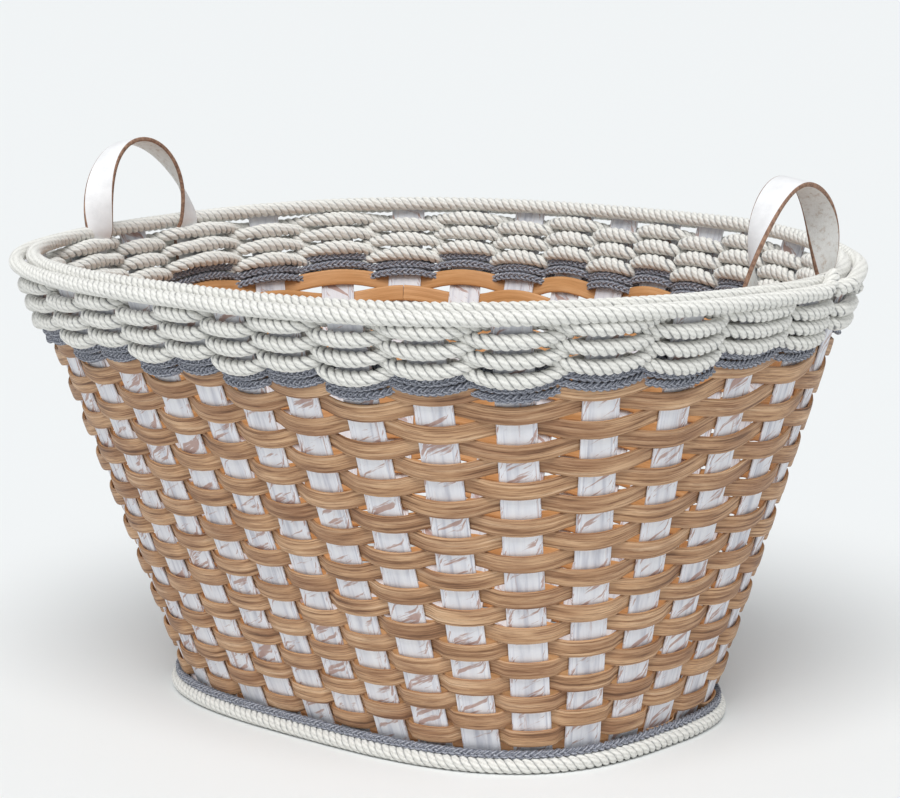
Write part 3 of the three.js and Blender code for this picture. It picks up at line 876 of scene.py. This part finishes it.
def softened(points, step, reach):
    # The path at even steps, with its corners rounded
    run = runAlong(points)
    even = np.linspace(0, run[-1], int(run[-1] / step) + 1)
    dense = np.stack([np.interp(even, run, points[:, k]) for k in range(3)], 1)
    wide = int(3 * reach / step)
    kernel = np.exp(-0.5 * (np.arange(-wide, wide + 1) * step / reach) ** 2)
    kernel /= kernel.sum()
    before, after = 2 * dense[0] - dense[wide:0:-1], 2 * dense[-1] - dense[-2:-wide - 2:-1]
    padded = np.vstack([before, dense, after])
    return np.stack([np.convolve(padded[:, k], kernel, "valid") for k in range(3)], 1)


def tailPoints(index, side):
    # Up between the stake and the inner rope passes, then inward round the inner rim rope
    alongUp = stakeFrames[index]["along"][2]
    reach = strap["ropeRadius"] + strap["gap"] + strap["thickness"] / 2
    inner = rope["offset"] - strap["inside"]
    low = (reach + inner * math.cos(strap["bend"])) / math.sin(strap["bend"])
    high = reach * math.tan(strap["bend"] / 2)
    levels = [(strap["inside"], strap["tailTop"] - rimDip(index)),
              (strap["inside"], innerRimLevel(index) - low * alongUp),
              (strap["atRim"], innerRimLevel(index) - high * alongUp)]
    return [onStake(index, side, -out, height) for out, height in levels]


def strapSection():
    # Corners of the strap as (across, face), and which side of the leather starts at each
    half, thick, r = strap["width"] / 2, strap["thickness"] / 2, strap["edgeRadius"]
    corners, zones = [], []
    for sideX, sideY, start, after in ((1, 1, 0, coat), (-1, 1, 90, edge),
                                       (-1, -1, 180, flesh), (1, -1, 270, edge)):
        for step in (0, 30, 60, 90):
            a = math.radians(start + step)
            x, y = sideX * (half - r) + r * math.cos(a), sideY * (thick - r) + r * math.sin(a)
            corners.append((x, y))
        zones += [edge] * 3 + [after]
    return corners, zones


def loopPath(info, feet):
    # A half ellipse from foot to foot, with the direction that it faces
    middle, axis = (feet[0] + feet[1]) / 2, unit(feet[1] - feet[0])
    half = np.linalg.norm(feet[1] - feet[0]) / 2
    lean = math.radians(info["lean"])
    level = unit(np.cross(axis, [0, 0, 1.0]))
    rise = np.array([0, 0, math.cos(lean)]) + level * math.sin(lean)
    rise = unit(rise - axis * rise.dot(axis))
    points = []
    for angle in np.linspace(0, math.pi, strap["loopSteps"] + 1):
        lift = math.sin(angle)
        along = info["skew"] * lift ** 3 - half * math.cos(angle)
        points.append(middle + axis * along + rise * info["rise"] * lift)
    return points, middle, np.cross(axis, rise)


def strapVertices(info, chain, outward, corners):
    a, b = info["stakes"]
    run = runAlong(chain)
    raised = np.nonzero(chain[:, 2] > rows["hinge"])[0]
    atA, atB = run[raised[0]], run[raised[-1]]
    vertices = []
    for i, (point, tangent) in enumerate(zip(chain, np.gradient(chain, axis=0))):
        tangent = unit(tangent)
        travel = min(run[i] - atA, atB - run[i])
        share = clamped((travel - strap["twistFrom"]) / strap["twistOver"])
        turn = math.radians(info["turn"]) * math.sin(math.pi / 2 * share)
        onLoop = eased((travel + 2 * strap["wallTurn"]) / strap["wallTurn"])
        stake = stakeFrames[a if i < len(chain) / 2 else b]
        wallOut = unit(stake["outward"] * (1 - onLoop) + outward * onLoop)
        face = unit(np.cross(outward, tangent)) * math.sin(turn) - wallOut * math.cos(turn)
        across = unit(np.cross(tangent, face))
        face = unit(np.cross(across, tangent))
        vertices += [tuple((point + across * x + face * y) * mm) for x, y in corners]
    return vertices


def makeHandle(label):
    info = handles[label]
    (a, b), (sideA, sideB) = info["stakes"], info["sides"]
    feet = [onStake(i, side, -strap["atRim"], innerRimLevel(i))
            for i, side in ((a, sideA), (b, sideB))]
    loop, middle, outward = loopPath(info, feet)
    chain = np.array(tailPoints(a, sideA) + loop + tailPoints(b, sideB)[::-1])
    chain = softened(chain, strap["step"], strap["soft"])
    corners, sectionZones = strapSection()
    ring, last = len(corners), len(chain) - 1
    faces, zones = [], []
    for i in range(last):
        for k in range(ring):
            n = (k + 1) % ring
            faces.append((i * ring + k, i * ring + n, (i + 1) * ring + n, (i + 1) * ring + k))
            zones.append(sectionZones[k])
    faces.append(tuple(range(ring))[::-1])
    faces.append(tuple(last * ring + k for k in range(ring)))
    zones += [edge, edge]
    mesh = bpy.data.meshes.new(label + "HandleStrap")
    mesh.from_pydata(strapVertices(info, chain, outward, corners), [], faces)
    for material in strapSides:
        mesh.materials.append(material)
    mesh.polygons.foreach_set("material_index", zones)
    mesh.polygons.foreach_set("use_smooth", [True] * len(faces))
    mesh.update()
    piece = bpy.data.objects.new(label + "HandleStrap", mesh)
    scene.collection.objects.link(piece)
    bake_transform(piece)
    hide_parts("handle_%s_loop" % label, "handle_%s_tail_a" % label,
                "handle_%s_tail_b" % label)


makeHandle("right")
makeHandle("left")
print("stage: handles made")

# Floor and light
studio = {"floorHalf": 20.0, "floorColour": linear(238, 240, 240), "floorRoughness": 0.9,
          "worldColour": linear(244, 247, 250), "worldStrength": 0.47,
          "sunPower": 2.4, "sunPlace": (1.1, -1.45, 2.7), "sunAngle": 40.0}
reach = studio["floorHalf"]
floorCorners = [(x * reach, y * reach, 0) for x, y in ((-1, -1), (1, -1), (1, 1), (-1, 1))]
floorMesh = bpy.data.meshes.new("floor")
floorMesh.from_pydata(floorCorners, [], [(0, 1, 2, 3)])
paleFloor = newMaterial("paleFloor", studio["floorRoughness"])[0]
floorShader = paleFloor.node_tree.nodes["Principled BSDF"]
floorShader.inputs["Base Color"].default_value = studio["floorColour"]
floorMesh.materials.append(paleFloor)
floor = bpy.data.objects.new("floor", floorMesh)
scene.collection.objects.link(floor)

world = bpy.data.worlds.new("studio")
world.use_nodes = True
background = world.node_tree.nodes["Background"]
background.inputs["Color"].default_value = studio["worldColour"]
background.inputs["Strength"].default_value = studio["worldStrength"]
scene.world = world

sun = bpy.data.lights.new("sun", "SUN")
sun.energy = studio["sunPower"]
sun.angle = math.radians(studio["sunAngle"])
sunObject = bpy.data.objects.new("sun", sun)
sunObject.rotation_mode = "QUATERNION"
sunObject.rotation_quaternion = (-Vector(studio["sunPlace"])).to_track_quat("-Z", "Y")
scene.collection.objects.link(sunObject)

# Camera fitted to the photograph: pixels, degrees and millimetres
view = {"width": 900, "height": 798, "focal": 2991.6, "centreX": 437.7, "centreY": 476.1,
        "yaw": 44.094, "elevation": 11.944, "roll": -1.237, "distance": 2062.9,
        "targetHeight": 156.4, "sensor": 36.0}
yaw, elevation, roll = (math.radians(view[k]) for k in ("yaw", "elevation", "roll"))
level = Vector((math.sin(yaw), -math.cos(yaw), 0)) * math.cos(elevation)
back = level + Vector((0, 0, math.sin(elevation)))
right = Vector((math.cos(yaw), math.sin(yaw), 0))
up = back.cross(right)
rightTurned = right * math.cos(roll) + up * math.sin(roll)
upTurned = up * math.cos(roll) - right * math.sin(roll)
cameraData = bpy.data.cameras.new("camera")
cameraData.sensor_width = view["sensor"]
cameraData.lens = view["focal"] * view["sensor"] / view["width"]
cameraData.shift_x = (view["width"] / 2 - view["centreX"]) / view["width"]
cameraData.shift_y = (view["centreY"] - view["height"] / 2) / view["width"]
camera = bpy.data.objects.new("camera", cameraData)
eye = Vector((0, 0, view["targetHeight"] * mm)) + back * view["distance"] * mm
turned = Matrix((rightTurned, upTurned, back)).transposed().to_4x4()
camera.matrix_world = Matrix.Translation(eye) @ turned
scene.collection.objects.link(camera)
scene.camera = camera

print("stage: scene ready")
